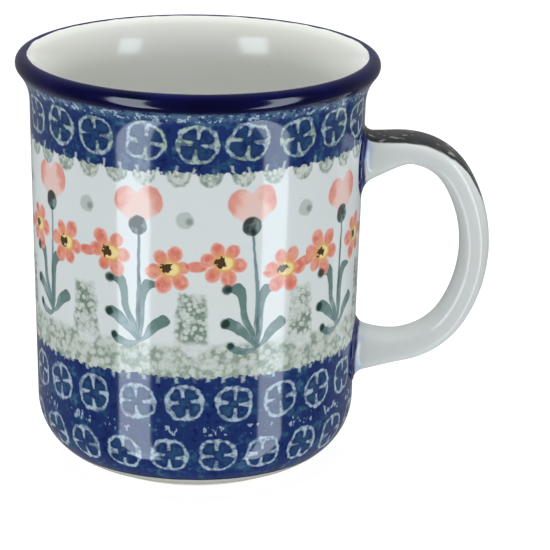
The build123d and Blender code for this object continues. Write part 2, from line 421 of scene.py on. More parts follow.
def make_cup_body():
    """The bare clay: wall and floor under the coats, and the foot ring."""
    foot_in, foot_out = FOOT_RADIUS - FOOT_WIDTH, FOOT_RADIUS
    _, under, under_normals = OUTLINE.stretch(0, foot_in, 3.0)
    _, rest, rest_normals = OUTLINE.stretch(foot_out, OUTLINE.travel[-1], 1.0)
    centre_points = under - COAT * under_normals
    wall_points = rest - COAT * rest_normals
    edge = FOOT_EDGE_ROUND
    foot = [centre_points]
    for middle, start in ((foot_in + edge, 180), (foot_out - edge, 270)):
        quarter = np.radians(np.linspace(start, start + 90, 6))
        foot.append(np.stack([middle + edge * np.cos(quarter), edge + edge * np.sin(quarter)], 1))
    flat = np.linspace(foot_in + edge, foot_out - edge, 7)[1:-1]
    foot.insert(2, np.stack([flat, 0 * flat], 1))
    section = np.concatenate(foot + [wall_points])
    section[0, 0] = section[-1, 0] = 0.0
    steps = np.linalg.norm(np.diff(section, axis=0), axis=1)
    paint = np.concatenate([[0], np.cumsum(steps)])
    return turn("cup_body", section, paint, False, len(section))


# ---- the handle ----
def make_route():
    """Position and heading along the strap's middle line, every tenth of a millimetre."""
    lengths = [ROUTE_TURNS[0][0]]
    lengths += [radius * math.radians(turned) for radius, turned in ROUTE_TURNS[1:4]]
    lengths += [ROUTE_TURNS[4][0]]
    turns = [turned for _, turned in ROUTE_TURNS]
    stops = np.concatenate([[0], np.cumsum(lengths)])
    headings = ROUTE_RISE - np.concatenate([[0], np.cumsum(turns)])
    fine = 0.02
    travel = np.arange(0, stops[-1] + fine / 2, fine)
    heading = np.interp(travel, stops, headings)
    soften = int(3.0 / fine)
    padded = np.pad(heading, soften, mode="edge")
    kernel = np.hanning(2 * soften + 1)
    heading = np.radians(np.convolve(padded, kernel / kernel.sum(), mode="valid"))
    x = ROUTE_START[0] + np.concatenate([[0], np.cumsum(np.cos(heading[:-1]) * fine)])
    z = ROUTE_START[1] + np.concatenate([[0], np.cumsum(np.sin(heading[:-1]) * fine)])
    return travel, x, z, heading


ROUTE = make_route()
ROUTE_LENGTH = ROUTE[0][-1]
UPPER_END_X, LOWER_END_X = 37.7, 36.7       # where the strap stops, inside the wall
JOINT_FILLET = 2.3                          # the last curl of slip against the wall
JOINT_REACH = 13.0                          # how far a slip joint goes along the strap


def wall_radius(z):
    """Radius of the cup's straight wall at a height."""
    return BASE_RADIUS + WALL_SLOPE * (z - BELLY_Z)


def smoothstep(low, high, value):
    share = np.clip((value - low) / (high - low), 0, 1)
    return share * share * (3 - 2 * share)


def strap_section(travel, angles, inset=0.0, joints=1.0):
    """Points round the strap at one distance along its route; angle 90 degrees is the spine.

    inset moves the surface in; joints is how much of the swelling at both ends is there.
    """
    line, xs, zs, headings = ROUTE
    x, z = np.interp(travel, line, xs), np.interp(travel, line, zs)
    heading = np.interp(travel, line, headings)
    far = ROUTE_LENGTH - travel
    heading = heading * smoothstep(1.0, 14.0, travel)
    heading = -math.pi + (heading + math.pi) * smoothstep(1.0, 12.0, far)
    upper = joints * max(0.0, 1 - travel / 16.0) ** 1.5
    lower = joints * max(0.0, 1 - far / 14.0) ** 1.6
    half_width = STRAP_WIDTH / 2 + 1.7 * upper + 1.5 * lower
    spine = STRAP_THICKNESS / 2 + 2.0 * upper + 0.9 * lower
    palm = STRAP_THICKNESS / 2 + 5.2 * upper + 5.4 * lower
    middle = smoothstep(10, 30, travel) * smoothstep(10, 30, far)
    half_width -= 0.25 * middle * (1 + math.sin(travel / 9.0))
    spine -= 0.1 * middle
    power = 2 / 2.45
    cosine, sine = np.cos(angles), np.sin(angles)
    wide = np.sign(cosine) * np.abs(cosine) ** power * (half_width - inset)
    depth = np.where(sine > 0, spine - inset, palm - inset)
    deep = np.sign(sine) * np.abs(sine) ** power * depth
    up, out = math.cos(heading), math.sin(heading)
    gap = np.hypot(x - out * deep, wide) - wall_radius(z + up * deep)
    near = JOINT_FILLET - np.clip(gap, 0, JOINT_FILLET)
    curl = joints * (JOINT_FILLET - np.sqrt(JOINT_FILLET**2 - near**2))
    swell = 1 + curl / (np.hypot(wide, deep) + 1e-9)
    wide, deep = wide * swell, deep * swell
    return np.stack([x - out * deep, wide, z + up * deep], 1)


def route_reaching(x, side):
    """Distance along the route where the upper (0) or lower (1) run is at a given x."""
    line, xs, _, _ = ROUTE
    half = len(line) // 2
    if side == 0:
        return np.interp(x, xs[:half], line[:half])
    return np.interp(-x, -xs[half:], line[half:])


def strap_rows(start, end):
    """Distances along the route, close together beside the wall."""
    near, far = 5.0, 0.8
    fine = 0.25
    rows = [start]
    while rows[-1] < end:
        beside = min(rows[-1] - START_TRAVEL, END_TRAVEL - rows[-1])
        rows.append(rows[-1] + (fine if beside < near else far))
    rows[-1] = end
    return np.array(rows)


START_TRAVEL = route_reaching(UPPER_END_X, 0)
END_TRAVEL = route_reaching(LOWER_END_X, 1)
AROUND = 96                                 # divisions round the strap
ROUND_STRAP = np.linspace(0, 2 * math.pi, AROUND, endpoint=False) - math.pi / 2
ACROSS_STRAP = np.linspace(0, 1, AROUND + 1)


def sleeve(name, start, end, outer, inner):
    """A closed sleeve round the strap between two distances; outer and inner are (inset, joints)."""
    rows = strap_rows(start, end)
    outside = [strap_section(travel, ROUND_STRAP, *outer) for travel in rows]
    back = rows[::-1][:: max(1, len(rows) // 40)]
    back = np.append(back, rows[0]) if back[-1] != rows[0] else back
    inside = [strap_section(travel, ROUND_STRAP, *inner) for travel in back]
    rings = np.array(outside + inside)
    along = np.concatenate([rows, back])
    return build_surface(name, rings, True, len(rows), ACROSS_STRAP, along)


def solid_strap(name, start, end, inset):
    """The bare strap under its glaze and its slip."""
    rows = np.concatenate([[start], strap_rows(start, end), [end]])
    rings = np.array([strap_section(travel, ROUND_STRAP, inset, 0.0) for travel in rows])
    return build_surface(name, rings, False, len(rows), ACROSS_STRAP, rows)


STROKE_START, STROKE_END = 2.6, 49.0        # along the route
STROKE_SPREAD = math.radians(68)


def make_spine_stroke():
    """The inlaid tongue of glaze that carries the brush stroke, along the spine of the handle."""
    rows = np.linspace(STROKE_START, STROKE_END, 90)
    side = np.linspace(-1, 1, 41)
    angles = math.pi / 2 + side * STROKE_SPREAD
    rings = []
    for travel in rows:
        ends = min(1.0, min(travel - STROKE_START, STROKE_END - travel) / 1.5)
        sink = -0.03 + 0.09 * np.abs(side) ** 8 + 0.06 * (1 - ends) ** 2
        top = np.array([
            strap_section(travel, np.array([angle]), depth)[0]
            for angle, depth in zip(angles, sink)
        ])
        low = strap_section(travel, angles[::-1], COAT)
        rings.append(np.concatenate([top, low[2:-2]]))
    rings = [np.repeat(rings[0].mean(0)[None], len(rings[0]), 0)] + rings
    rings += [np.repeat(rings[-1].mean(0)[None], len(rings[-1]), 0)]
    rings = np.array(rings)
    along = np.concatenate([[STROKE_START], rows, [STROKE_END]])
    across = np.linspace(0, 1, rings.shape[1] + 1)
    return build_surface("spine_stroke", rings, False, len(rings), across, along)


# ======================================================================
# Paint: numbers and colours over a surface, as nodes
# ======================================================================
def linear(hex_colour):
    """A colour written as in a paint chart, as linear light."""
    parts = [int(hex_colour[i : i + 2], 16) / 255 for i in (0, 2, 4)]
    return tuple(p / 12.92 if p <= 0.04045 else ((p + 0.055) / 1.055) ** 2.4 for p in parts) + (1.0,)


class Field:
    """A number that varies over a surface. Arithmetic on fields adds nodes to their tree."""

    def __init__(self, tree, socket):
        self.tree, self.socket = tree, socket

    def do(self, operation, *others):
        node = add_node(self.tree, "Math", enumerate((self, *others)), operation=operation)
        return Field(self.tree, node.outputs[0])

    def __add__(self, other):
        return self.do("ADD", other)

    def __sub__(self, other):
        return self.do("SUBTRACT", other)

    def __mul__(self, other):
        return self.do("MULTIPLY", other)

    def __truediv__(self, other):
        return self.do("DIVIDE", other)

    def __rsub__(self, other):
        return (self * -1.0).do("ADD", other)

    def __neg__(self):
        return self * -1.0

    def __abs__(self):
        return self.do("ABSOLUTE")

    __radd__, __rmul__ = __add__, __mul__

    def floor(self):
        return self.do("FLOOR")

    def wrap(self, count):
        return self.do("FLOORED_MODULO", count)

    def least(self, other):
        return self.do("MINIMUM", other)

    def most(self, other):
        return self.do("MAXIMUM", other)

    def step(self, low, high):
        """0 below low, 1 above high, smooth between; high may be less than low."""
        falls = high < low
        inputs = {"Value": self, "From Min": min(low, high), "From Max": max(low, high)}
        inputs.update({"To Min": float(falls), "To Max": float(not falls)})
        node = add_node(self.tree, "MapRange", inputs, interpolation_type="SMOOTHSTEP")
        return Field(self.tree, node.outputs["Result"])


def length(x, y):
    return (x * x + y * y).do("SQRT")


class Canvas:
    """A material's node tree with the coordinates that the paint uses."""

    def __init__(self, name):
        self.material = bpy.data.materials.new(name)
        self.material.use_nodes = True
        self.tree = self.material.node_tree
        self.tree.nodes.clear()
        self.across, self.along, _ = self.parts(add_node(self.tree, "UVMap", uv_map="wrap").outputs[0])
        inputs = {0: add_node(self.tree, "TexCoord").outputs["Object"], "Scale": 1 / MM}
        self.place = add_node(self.tree, "VectorMath", inputs, operation="SCALE").outputs[0]
        self.x, self.y, self.z = self.parts(self.place)

    def parts(self, vector):
        node = add_node(self.tree, "SeparateXYZ", {0: vector})
        return [Field(self.tree, socket) for socket in node.outputs]

    def noise(self, size, detail=2.0, shift=0.0, stretch=None):
        """Smooth noise from 0 to 1 with grains of about size millimetres."""
        place = self.place
        if stretch is not None:
            inputs = {0: place, 1: stretch}
            place = add_node(self.tree, "VectorMath", inputs, operation="MULTIPLY").outputs[0]
        inputs = {"Vector": place, "W": shift, "Scale": 1 / size, "Detail": detail}
        node = add_node(self.tree, "TexNoise", inputs, noise_dimensions="4D")
        return Field(self.tree, node.outputs[0])

    def drift(self, size, detail, shift, reach, stretch=None):
        """Smooth noise about zero, reach from its lowest to its highest."""
        return (self.noise(size, detail, shift, stretch) - 0.5) * reach

    def cells(self, size):
        """How far it is to the nearest of many scattered points, in cells of about size millimetres."""
        node = add_node(self.tree, "TexVoronoi", {"Vector": self.place, "Scale": 1 / size})
        return Field(self.tree, node.outputs["Distance"])

    def chance(self, index, seed):
        """A fixed random number from 0 to 1 for each whole number."""
        inputs = {"W": index * 1.37 + seed}
        node = add_node(self.tree, "TexWhiteNoise", inputs, noise_dimensions="1D")
        return Field(self.tree, node.outputs["Value"])

    def stray(self, index, seed, reach):
        """A fixed random number about zero for each whole number, reach from lowest to highest."""
        return (self.chance(index, seed) - 0.5) * reach

    def ramp(self, field, stops, ease="EASE"):
        """A colour that follows a field; stops are (value, colour)."""
        node = add_node(self.tree, "ValToRGB", {0: field})
        ramp = node.color_ramp
        ramp.interpolation = ease
        while len(ramp.elements) < len(stops):
            ramp.elements.new(0.5)
        for element, (place, colour) in zip(ramp.elements, stops):
            element.position = place
            element.color = linear(colour) if isinstance(colour, str) else colour
        return Field(self.tree, node.outputs["Color"])

    def split(self, colour):
        node = add_node(self.tree, "SeparateColor", {0: colour})
        return [Field(self.tree, socket) for socket in node.outputs[:3]]

    def listed(self, index, rows):
        """Two or three lengths in millimetres, each within 5 of zero, for each whole number."""
        count = len(rows)
        stops = []
        for i, row in enumerate(rows):
            stops.append((i / count, (*(value / 10 + 0.5 for value in (*row, 0)[:3]), 1.0)))
        colour = self.ramp((index + 0.5) / count, stops, "CONSTANT")
        return [(part - 0.5) * 10.0 for part in self.split(colour)]

    def curves(self, field, reach, stops):
        """Up to three numbers that follow a field from 0 to reach; stops are (value, number, ...)."""
        colours = [(at / reach, (*(*numbers, 0, 0)[:3], 1.0)) for at, *numbers in stops]
        return self.split(self.ramp(field / reach, colours, "CARDINAL"))

    def blend(self, under, over, cover):
        """Colour over laid on under where cover is 1. Either may be a hex colour."""
        node = add_node(self.tree, "Mix", {"Factor": cover}, data_type="RGBA")
        sockets = [socket for socket in node.inputs if socket.type == "RGBA"]
        plug(self.tree, under, sockets[0])
        plug(self.tree, over, sockets[1])
        return Field(self.tree, next(socket for socket in node.outputs if socket.type == "RGBA"))

    def repeat(self, count, offset):
        """Cells repeated round the cup: each cell's number, and millimetres from its middle."""
        turns = self.across * float(count) - offset
        index = (turns + 0.5).floor()
        return index.wrap(float(count)), (turns - index) * (ROUND / count)

    def finish(self, colour, roughness, relief, depth):
        """The surface itself: relief is a field of height, depth its size in millimetres."""
        inputs = {"Strength": 1.0, "Distance": depth * MM, "Height": relief}
        bump = add_node(self.tree, "Bump", inputs)
        inputs = {"Base Color": colour, "Roughness": roughness, "IOR": IOR, "Normal": bump.outputs[0]}
        shader = add_node(self.tree, "BsdfPrincipled", inputs)
        add_node(self.tree, "OutputMaterial", {0: shader.outputs[0]})
        return self.material

    def finish_glaze(self, colour, wave=0.10, gloss=0.06):
        """Clear fired glaze over a colour: faint waves, a fine orange peel and uneven gloss."""
        waves = self.noise(14.0, 1.0, 3.1)
        peel = self.noise(1.6, 2.0, 7.7)
        relief = waves + peel * 0.035
        roughness = self.noise(9.0, 3.0, 5.5) * 0.07 + gloss
        return self.finish(colour, roughness, relief, wave)


# ---- colours ----
WHITE_GLAZE = "d9e1e3"
WHITE_WARM = "d9ddda"
COBALT = "060734"
COBALT_DARK = "030422"
BAND_DARK = "121e52"
BAND = "1b3066"
BAND_LIGHT = "46668a"
STAMP_LINE = "b0c6d6"
STAMP_LINE_GREEN = "adc6b6"
CORAL = "dd8672"
CORAL_DEEP = "d0604f"
BROWN = "35140a"
LEAF = "567874"
LEAF_PALE = "879fa6"
LEAF_TIP = "18352f"


def white_ground(canvas, tone=WHITE_GLAZE, warm=WHITE_WARM):
    """White glaze on pale clay: slow shifts of tone and a few iron specks."""
    shift = canvas.noise(22.0, 3.0, 1.7).step(0.35, 0.75)
    ground = canvas.blend(tone, warm, shift * 0.35)
    specks = canvas.cells(7.0).step(0.035, 0.015) * canvas.noise(9.0, 1.0, 4.4).step(0.5, 0.6)
    return canvas.blend(ground, "8a7f70", specks * 0.5)


# ---- the stamped bands ----
def band_ground(canvas):
    """Cobalt dabbed on with a sponge: clouds, finer mottling and streaks left by the dabs."""
    clouds = canvas.noise(3.2, 3.0, 11.0)
    grain = canvas.noise(1.2, 3.0, 12.0)
    tone = clouds * 0.6 + grain * 0.4
    return canvas.ramp(
        tone,
        [(0.36, BAND_DARK), (0.45, BAND), (0.52, "1d3168"), (0.57, "264a6e"), (0.68, BAND_LIGHT)],
    )


def stamps(canvas, ground, unevenness, azimuth, height, radius, seed, tint):
    """A row of stamps left in pale slip: an uneven ring with four short wedges, like four petals.

    azimuth is the direction of one stamp in degrees; unevenness crowds them a little on one side.
    """
    front = 2 * math.pi * (canvas.across - (360 + azimuth) / 360)
    start = STAMPS * (360 + azimuth) / 360
    turns = canvas.across * float(STAMPS) - start - front.do("SINE") * unevenness
    index = (turns + 0.5).floor()
    x = (turns - index) * (ROUND / STAMPS)
    index = index.wrap(float(STAMPS))
    x = x + canvas.stray(index, seed, 0.6)
    y = canvas.along - height + canvas.stray(index, seed + 3.3, 0.7)
    tilt = canvas.stray(index, seed + 5.5, 0.35)
    warp = canvas.drift(3.4, 2.0, seed + 20, 2.2)
    fray = canvas.drift(1.1, 2.0, seed + 27, 1.0)
    angle = y.do("ARCTAN2", x) + tilt
    reach = length(x, y * 1.04) * ((angle * 4.0).do("COSINE") * 0.035 + 1.0) + warp
    quarter = math.pi / 2
    sector = (angle / quarter + 0.45).floor()
    slip = canvas.stray(index * 4.0 + sector, seed + 9.0, 0.8)
    across = (angle - sector * quarter).do("SINE") * reach - slip
    worn = canvas.noise(1.0, 2.0, seed + 31)
    ring = abs(reach - radius) - 0.36 + fray * 0.8
    tall = canvas.chance(index * 4.0 + sector, seed + 12.0) * 0.7 + 0.95
    notch = (abs(across) - (reach / radius) * 0.5 - 0.14 + fray * 0.6).most(reach - radius)
    notch = notch.most(tall - reach)
    merge = (0.9 - abs(ring - notch)).most(0.0)
    mark = ring.least(notch) - (merge * merge) * 0.28
    ink = mark.step(0.22, -0.24) * (worn.step(0.36, 0.6) * 0.68 + 0.32)
    inside = (reach - radius).step(0.2, -0.6)
    cloudy = canvas.noise(1.8, 2.0, seed + 40)
    under = canvas.blend(ground, "2b4c70", inside * cloudy.step(0.35, 0.6) * 0.7)
    under = canvas.blend(under, BAND_DARK, inside * mark.step(0.9, 0.2) * 0.35)
    pale = canvas.blend(STAMP_LINE, tint, canvas.noise(3.0, 1.0, seed + 8).step(0.4, 0.6))
    return canvas.blend(under, pale, ink * 0.93)


def ticks(canvas, ground, count, offset, height, tall, wide, seed, colour):
    """Short uneven strokes of bare ground in a row, leaning either way."""
    index, x = canvas.repeat(count, offset)
    lean = canvas.stray(index, seed + 1.9, 0.8)
    fray = canvas.drift(1.0, 2.0, seed + 2, 1.6)
    y = canvas.along - height + fray
    stature = canvas.chance(index, seed + 8.8) * tall * 0.4 + tall * 0.22
    x = x + y * lean + fray * 0.5 + canvas.stray(index, seed + 4.4, 0.8)
    mark = (abs(x) - wide).most(abs(y) - stature).step(0.3, -0.2)
    shown = mark * canvas.chance(index, seed).step(0.15, 0.45)
    return canvas.blend(ground, colour, shown * 0.8)


def flecks(canvas, ground, height, tall, seed, reach=None, offset=0.0):
    """Irregular flecks of bare ground along a height, in clusters if given a reach."""
    grain = canvas.noise(1.1, 2.0, seed, (1.0, 1.0, 0.75))
    row = abs(canvas.along - height).step(tall, tall * 0.7)
    if reach is not None:
        _, x = canvas.repeat(STAMPS, offset)
        row = row * abs(x).step(reach, reach - 0.5)
    return canvas.blend(ground, STAMP_LINE, (grain - 0.545).step(0.0, 0.06) * row * 0.7)


def ragged(canvas, size, seed):
    """An offset in millimetres for an edge dabbed with a sponge."""
    return canvas.drift(size, 2.0, seed, 2.0)


def blue_edge(canvas, white, blue, height, side, seed):
    """Blue on one side of a height: 1 above it, -1 below it. Its edge is toothed."""
    teeth = ragged(canvas, 1.4, seed) * 1.6
    gap = (canvas.along - height + teeth) * float(side)
    return canvas.blend(white, blue, gap.step(-0.25, 0.25))


def joint_line(canvas, ground):
    """The cobalt brush line where the handle's joints meet the wall, with its paler bleed."""
    gap = length(canvas.x, canvas.y) - (canvas.z - BELLY_Z) * WALL_SLOPE - BASE_RADIUS
    wobble = canvas.drift(4.0, 1.0, 41.0, 0.8)
    edge = gap + wobble
    bleed = edge.step(3.4, 0.9) * canvas.noise(5.0, 2.0, 42.0).step(0.35, 0.7)
    pale = canvas.blend(ground, "9fb6dc", bleed * 0.75)
    return canvas.blend(pale, "141a5e", edge.step(1.15, 0.65))


# ---- the flower frieze ----
PLANT_OFFSET = 0.29             # of a plant's width, from +X to the first stem
# What the hand did with each plant, in millimetres: stem aside, root up, head up.
PLANTS_BY_HAND = [
    (0.4, 0.5, -0.3), (-0.6, -0.8, 0.6), (0.2, 0.9, 0.2), (0.8, -0.4, -0.9), (-0.3, 0.3, 0.5),
    (0.0, 1.6, 1.0), (0.0, 0.0, 0.0), (0.75, -1.4, 0.0), (-0.95, -0.9, -1.6),
]
# The head's lean to one side of its stem, and the dot's place aside and up, for each plant.
HEADS_BY_HAND = [
    (0.5, 0.6, 0.3), (-0.9, -0.5, -0.4), (0.2, 0.9, 0.5), (1.1, 0.2, -0.2), (-0.4, -0.6, 0.7),
    (0.7, 0.0, 0.4), (0.0, -2.7, -0.9), (-1.6, -0.5, -0.1), (0.3, 0.4, 0.2),
]
# The flowers of each pair: aside, up.
LEFT_FLOWERS_BY_HAND = [
    (0.2, 0.6), (-0.5, -0.9), (0.4, 1.2), (0.1, -0.4), (-0.3, 0.8),
    (-0.9, 1.3), (0.15, -1.0), (0.6, -2.2), (0.2, 0.3),
]
RIGHT_FLOWERS_BY_HAND = [
    (-0.3, -0.8), (0.5, 0.9), (0.1, -0.2), (-0.4, 1.1), (0.3, 2.4),
    (-0.2, 1.5), (-0.35, 0.5), (-1.2, -0.3), (0.2, 1.0),
]
ROOT_X, ROOT_Z = 0.1, 40.4      # where the leaves of a plant start
STEM_TOP_Z = 66.8
BUD_Z = 68.4                    # the dark bud under a flower head
HEAD_Z = 72.7
DOT_Z = 71.1
PAIR_Z, PAIR_SPREAD = 59.5, 6.5         # the middles of the paired flowers
UPPER_JOINT_Z, LOWER_JOINT_Z = 74.4, 27.9
# Each leaf, followed outward from the root: distance, angle from upright in degrees (left is
# negative), half its width; then where it ends.
LEAVES = [
    ([(0, -14, 0.4), (3.6, -18, 0.7), (7.5, -23, 0.85), (11.3, -18.6, 0.95), (14, -17, 1.2),
      (15.2, -19, 1.7), (16.4, -22, 2.2)], 16.8),
    ([(0, -36, 0.5), (2.9, -41, 0.7), (5.6, -42.5, 1.25), (8.1, -45, 1.5), (10, -49, 1.55)],
     10.7),
    ([(0, -120, 0.5), (1.7, -116, 0.7), (3.9, -100, 1.0), (5.2, -93, 1.1), (6.7, -85, 1.1)],
     7.2),
    ([(0, 8, 0.4), (3.4, 7, 0.75), (8, 4.4, 0.9), (11.9, 5.2, 1.05), (13.6, 8, 1.5),
      (14.8, 12.5, 2.2)], 15.4),
    ([(0, 60, 0.5), (1.65, 57, 0.6), (3.8, 46, 1.1), (6.1, 44.6, 1.4), (8, 48, 1.5)],
     9.4),
]
# The dark tips: aside and up from the root, and radius.
LEAF_TIPS = [(-7.5, 14.5, 1.2), (-7.8, 6.3, 1.15), (-6.4, 0.8, 0.95)]
LEAF_REACH = 20.0
WIDEST_LEAF = 4.0


def plant_leaves(canvas, ground, x, y):
    """The fan of brush-stroke leaves at the foot of each stem."""
    dx, dy = x - ROOT_X, y - ROOT_Z
    reach = length(dx, dy)
    angle = dx.do("ARCTAN2", dy)
    tone = canvas.blend(LEAF_PALE, LEAF, (canvas.noise(3.0, 2.0, 55.0) + reach * 0.02).step(0.4, 0.7))
    blunt = 0.9
    for stops, end in LEAVES:
        rows = [(r, turned / 360 + 0.5, half / WIDEST_LEAF) for r, turned, half in stops]
        heading, half, _ = canvas.curves(reach, LEAF_REACH, rows)
        lateral = abs(angle - (heading - 0.5) * (2 * math.pi)) * reach
        beside = (lateral - half * WIDEST_LEAF + blunt).most(0.0)
        beyond = (reach - end + blunt).most(0.0)
        edge = length(beside, beyond) - blunt
        paint = canvas.blend(tone, "48635f", edge.step(-0.5, 0.0) * 0.45)
        paint = canvas.blend(paint, "3d5f5a", (reach - end).step(-4.5, 0.0) * 0.45)
        ground = canvas.blend(ground, paint, edge.step(0.12, -0.2) * 0.93)
    return ground


def leaf_tips(canvas, ground, x, y):
    """The dark drop at the end of each left-hand leaf, where the loaded brush was lifted."""
    for across, up, size in LEAF_TIPS:
        tip = length(x - ROOT_X - across, y - ROOT_Z - up) - size
        ground = canvas.blend(ground, LEAF_TIP, tip.step(0.35, -0.4) * 0.92)
    return ground


def stem(canvas, ground, x, y):
    sway = (y * 0.13).do("SINE") * 0.2
    half = 0.36 + y.step(66.0, 42.0) * 0.28
    ends = y.step(STEM_TOP_Z + 1.6, STEM_TOP_Z), y.step(ROOT_Z + 0.5, ROOT_Z + 6.0)
    cover = (abs(x - sway) - half).step(0.14, -0.2) * ends[0] * ends[1]
    tone = canvas.blend("2f4646", "6f8c93", canvas.noise(9.0, 2.0, 58.0).step(0.35, 0.65))
    return canvas.blend(ground, tone, cover * 0.93)


def poppy(canvas, ground, x, y):
    """A flower head of two upright petals, coral at their outer edges, washed out between."""
    wash = canvas.noise(2.2, 2.0, 61.0)
    middle = (length(x / 4.7, (y - HEAD_Z) / 3.6) - 1.0) * 3.6
    ground = canvas.blend(ground, "e7c6be", (middle + (wash - 0.5) * 1.4).step(0.4, -0.5) * 0.85)
    for side, height, wide, tall in ((-1, 74.1, 2.95, 3.4), (1, 74.5, 3.0, 3.65)):
        px, py = x - 2.95 * side, y - height
        lateral = px + py * 0.08 * side
        edge = (length(lateral / wide, py / tall) - 1.0) * 3.0 + (wash - 0.5) * 0.7
        outward = px * float(side) * 0.24 + py * 0.09 + (wash - 0.5) * 1.2
        tone = canvas.blend("ebc6bd", "df8c7a", outward.step(-0.3, 0.45))
        tone = canvas.blend(tone, CORAL_DEEP, outward.step(0.4, 0.95) * 0.8)
        faded = (py * 0.16 + px * 0.14 * side).step(-0.7, 0.05) * 0.75 + 0.2
        ground = canvas.blend(ground, tone, edge.step(0.25, -0.35) * faded.least(0.86))
    return ground


def calyx(canvas, ground, x, y):
    """A dark bud under each head, painted wet so that it dries in patches."""
    blot = canvas.noise(2.2, 1.0, 64.0)
    edge = (length(x / 2.3, (y - BUD_Z) / 2.35) - 1.0) * 2.3 + (blot - 0.5) * 0.7
    patch = (blot - 0.5) * 1.8 + x * 0.10 + (y - BUD_Z) * -0.06
    tone = canvas.blend("182826", "71898a", patch.step(-0.05, 0.28))
    tone = canvas.blend(tone, "40504e", edge.step(-0.7, -0.1) * 0.5)
    return canvas.blend(ground, tone, edge.step(0.2, -0.25) * 0.95)


def petals(canvas, ground, x, y, turned, seed):
    """A six-petalled flower with a yellow eye and dark blots; seed is a field, one per flower."""
    wash = canvas.noise(1.7, 2.0, 71.0)
    reach = length(x, y)
    angle = y.do("ARCTAN2", x) + turned
    sixth = math.pi / 3
    sector = (angle / sixth + 0.5).floor()
    local = angle - sector * sixth + canvas.stray(sector + seed * 8.0, 4.2, 0.16)
    size = canvas.chance(sector + seed * 8.0, 6.6) * 0.22 + 0.85
    px, py = local.do("COSINE") * reach - size * 3.75, local.do("SINE") * reach
    edge = (length(px / 2.1, py / 1.85) / size - 1.0) * 1.95 + (wash - 0.5) * 0.5
    tone = canvas.blend("e29c88", "da7a66", wash.step(0.35, 0.62))
    tone = canvas.blend(tone, CORAL_DEEP, length(px - 0.5, py).step(1.9, 0.2) * wash.step(0.4, 0.7) * 0.75)
    tone = canvas.blend(tone, "dd9258", reach.step(3.8, 2.3) * 0.6)
    tone = canvas.blend(tone, "ecbbb0", edge.step(-0.7, 0.15) * 0.5)
    cover = edge.least(reach - 2.7).step(0.3, -0.3)
    ground = canvas.blend(ground, tone, cover * 0.94)
    eye = (length((x - 0.3) / 2.5, (y + 0.1) / 1.95) - 1.0) * 2.2 + (wash - 0.5) * 0.8
    yellow = canvas.blend("eedc9c", "d8994a", eye.step(-0.9, 0.0) * 0.9)
    ground = canvas.blend(ground, yellow, eye.step(0.25, -0.25))
    torn = canvas.noise(1.0, 1.0, 73.0) - 0.5
    blots = length(x + 0.65, (y - 0.05) * 1.15) - 1.35 + torn * 3.4
    return canvas.blend(ground, BROWN, blots.step(0.15, -0.25) * reach.step(2.4, 2.0) * 0.95)


def daisies(canvas, ground):
    """A pair of flowers between every two stems, linked by a dab of coral."""
    index, x = canvas.repeat(PLANTS, PLANT_OFFSET + 0.5)
    on_right = x.step(-0.01, 0.01)
    side = on_right * 2.0 - 1.0
    left = canvas.listed(index, LEFT_FLOWERS_BY_HAND)
    right = canvas.listed(index, RIGHT_FLOWERS_BY_HAND)
    aside = left[0] + (right[0] - left[0]) * on_right
    up = left[1] + (right[1] - left[1]) * on_right
    turned = canvas.stray(index * 2.0 + on_right, 2.9, 0.5)
    warp = canvas.drift(2.0, 1.0, 75.0, 1.0)
    dash_y = canvas.along - 59.3 - (left[1] + right[1]) * 0.4 + warp * 0.5
    dash = (length(x / 2.4, dash_y / 1.25) - 1.0) * 1.2
    coral = canvas.blend(CORAL, CORAL_DEEP, canvas.noise(1.6, 1.0, 77.0).step(0.4, 0.7) * 0.8)
    ground = canvas.blend(ground, coral, dash.step(0.25, -0.2) * 0.95)
    local_x = x - side * PAIR_SPREAD - aside + warp * 0.5
    local_y = canvas.along - PAIR_Z - up + warp * 0.4
    return petals(canvas, ground, local_x, local_y, turned, index * 2.0 + on_right)


def dots(canvas, ground):
    """A watery dot between every two flower heads, darker where the brush lifted."""
    index, x = canvas.repeat(PLANTS, PLANT_OFFSET + 0.5)
    _, aside, up = canvas.listed(index, HEADS_BY_HAND)
    x, y = x - aside, canvas.along - DOT_Z - up
    reach = length(x, y) + canvas.drift(1.8, 1.0, 81.0, 0.7)
    dark = length(x - 1.0, y + 0.3).step(1.3, 0.3)
    tone = canvas.blend("b3bebb", "7b8c86", dark)
    return canvas.blend(ground, tone, reach.step(2.3, 1.7) * 0.88)


def sponge_print(canvas, ground, cover, seed, grain=1.0, contrast=1.0):
    """Grey-green colour from an open-celled sponge: pale bubbles with darker skins, in patches."""
    skin = canvas.cells(1.5 * grain).step(0.30, 0.62)
    finer = canvas.noise(0.75, 3.0, seed) - 0.5
    patch = canvas.noise(2.6, 2.0, seed + 1).step(0.36, 0.62)
    dark = (skin * (patch * 0.75 + 0.25) + finer * 1.3).most(0.0) * contrast
    tone = canvas.blend("bcc7bb", "6b8075", dark.least(1.0))
    strength = (dark * 0.5 + patch * 0.25 + finer * 0.5 + (0.72 - 0.22 * contrast)).most(0.0)
    return canvas.blend(ground, tone, strength.least(0.95) * cover)


